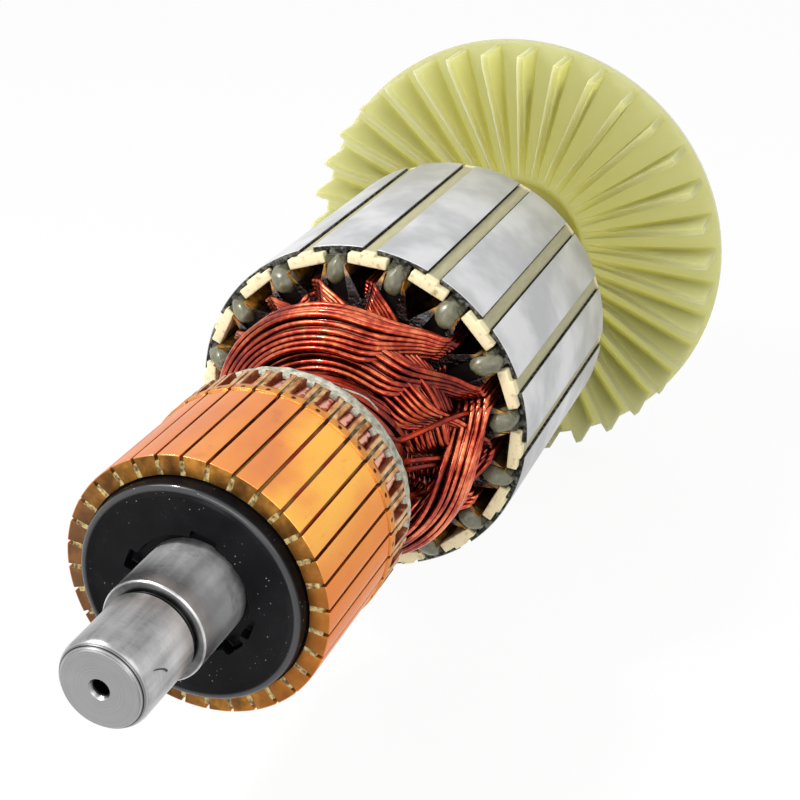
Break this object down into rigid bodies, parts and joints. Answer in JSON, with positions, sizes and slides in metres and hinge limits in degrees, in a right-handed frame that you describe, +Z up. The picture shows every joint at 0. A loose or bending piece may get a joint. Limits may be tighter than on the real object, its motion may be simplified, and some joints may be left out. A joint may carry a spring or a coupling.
{
  "type": "motor armature",
  "caption": "Wound armature of a hand-held universal motor: steel shaft, copper commutator, laminated core with enamelled coils, and a moulded cooling fan.",
  "frame": {"origin": "middle of the commutator-end bearing seat, on the shaft's axis", "axes": "+X along the shaft from the commutator end to the drive end, +Z up, +Y to the left when looking along +X"},
  "size_m": [0.2052, 0.0822, 0.0822],
  "materials": {
    "shaft_steel": "turned and ground",
    "lamination_steel": "ground smooth across thin sheets",
    "bar_copper": "turned copper with fine scratches",
    "enamelled_wire": "clear red-brown enamel over copper, glossy with varnish",
    "mica": "dull olive-brown layered sheet",
    "black_moulding": "satin moulded black resin with dust",
    "sleeve_plastic": "moulded off-white resin",
    "end_coating": "olive-grey powder coating with soft edges",
    "liner_paper": "amber varnished insulation paper",
    "wedge_strip": "cream laminated strip with darker olive edges",
    "binding_resin": "rough grey-white cord soaked in resin",
    "fan_nylon": "translucent yellow-green moulded nylon"
  },
  "bodies": {
    "root": {"shaft": "shaft_steel", "shaft_sleeve": "sleeve_plastic", "commutator_bar_01": "bar_copper", "commutator_bar_02": "bar_copper", "commutator_bar_03": "bar_copper", "commutator_bar_04": "bar_copper", "commutator_bar_05": "bar_copper", "commutator_bar_06": "bar_copper", "commutator_bar_07": "bar_copper", "commutator_bar_08": "bar_copper", "commutator_bar_09": "bar_copper", "commutator_bar_10": "bar_copper", "commutator_bar_11": "bar_copper", "commutator_bar_12": "bar_copper", "commutator_bar_13": "bar_copper", "commutator_bar_14": "bar_copper", "commutator_bar_15": "bar_copper", "commutator_bar_16": "bar_copper", "commutator_bar_17": "bar_copper", "commutator_bar_18": "bar_copper", "commutator_bar_19": "bar_copper", "commutator_bar_20": "bar_copper", "commutator_bar_21": "bar_copper", "commutator_bar_22": "bar_copper", "commutator_bar_23": "bar_copper", "commutator_bar_24": "bar_copper", "commutator_bar_25": "bar_copper", "commutator_bar_26": "bar_copper", "commutator_bar_27": "bar_copper", "commutator_bar_28": "bar_copper", "commutator_bar_29": "bar_copper", "commutator_bar_30": "bar_copper", "commutator_bar_31": "bar_copper", "commutator_bar_32": "bar_copper", "mica_segments": "mica", "commutator_hub": "black_moulding", "core_laminations": "lamination_steel", "end_insulator_front": "end_coating", "end_insulator_rear": "end_coating", "slot_liners": "liner_paper", "slot_wedges": "wedge_strip", "coil_01": "enamelled_wire", "coil_02": "enamelled_wire", "coil_03": "enamelled_wire", "coil_04": "enamelled_wire", "coil_05": "enamelled_wire", "coil_06": "enamelled_wire", "coil_07": "enamelled_wire", "coil_08": "enamelled_wire", "coil_09": "enamelled_wire", "coil_10": "enamelled_wire", "coil_11": "enamelled_wire", "coil_12": "enamelled_wire", "coil_13": "enamelled_wire", "coil_14": "enamelled_wire", "coil_15": "enamelled_wire", "coil_16": "enamelled_wire", "coil_leads": "enamelled_wire", "lead_band": "binding_resin", "fan": "fan_nylon"}
  },
  "joints": []
}
